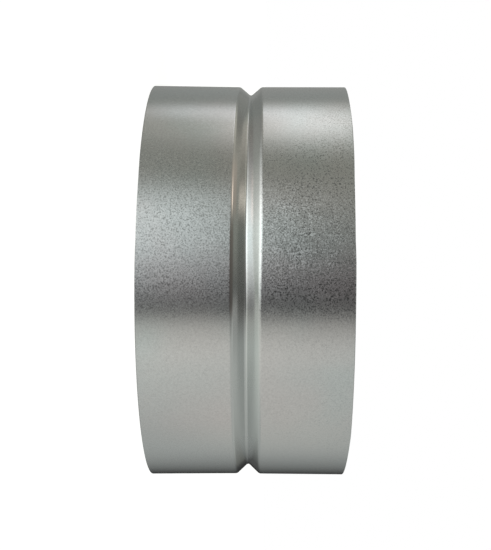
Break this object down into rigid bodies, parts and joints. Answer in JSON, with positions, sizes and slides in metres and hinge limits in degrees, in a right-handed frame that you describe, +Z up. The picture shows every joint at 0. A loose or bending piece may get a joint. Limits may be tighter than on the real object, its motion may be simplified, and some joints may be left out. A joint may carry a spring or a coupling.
{
  "type": "duct connector",
  "caption": "Short round sleeve of galvanised sheet steel with a V-groove rolled in round its middle, joining two lengths of round duct that are pushed over its ends.",
  "frame": {"origin": "centre of the lower rim, on the sleeve's axis", "axes": "+Z up the sleeve's axis, from the lower rim to the upper; the lapped seam is on the +Y side"},
  "size_m": [0.124, 0.124, 0.06],
  "materials": {
    "galvanised_steel": "hot-dip galvanised, fine-grained zinc, satin"
  },
  "bodies": {
    "root": {"connector_sleeve": "galvanised_steel"}
  },
  "joints": []
}
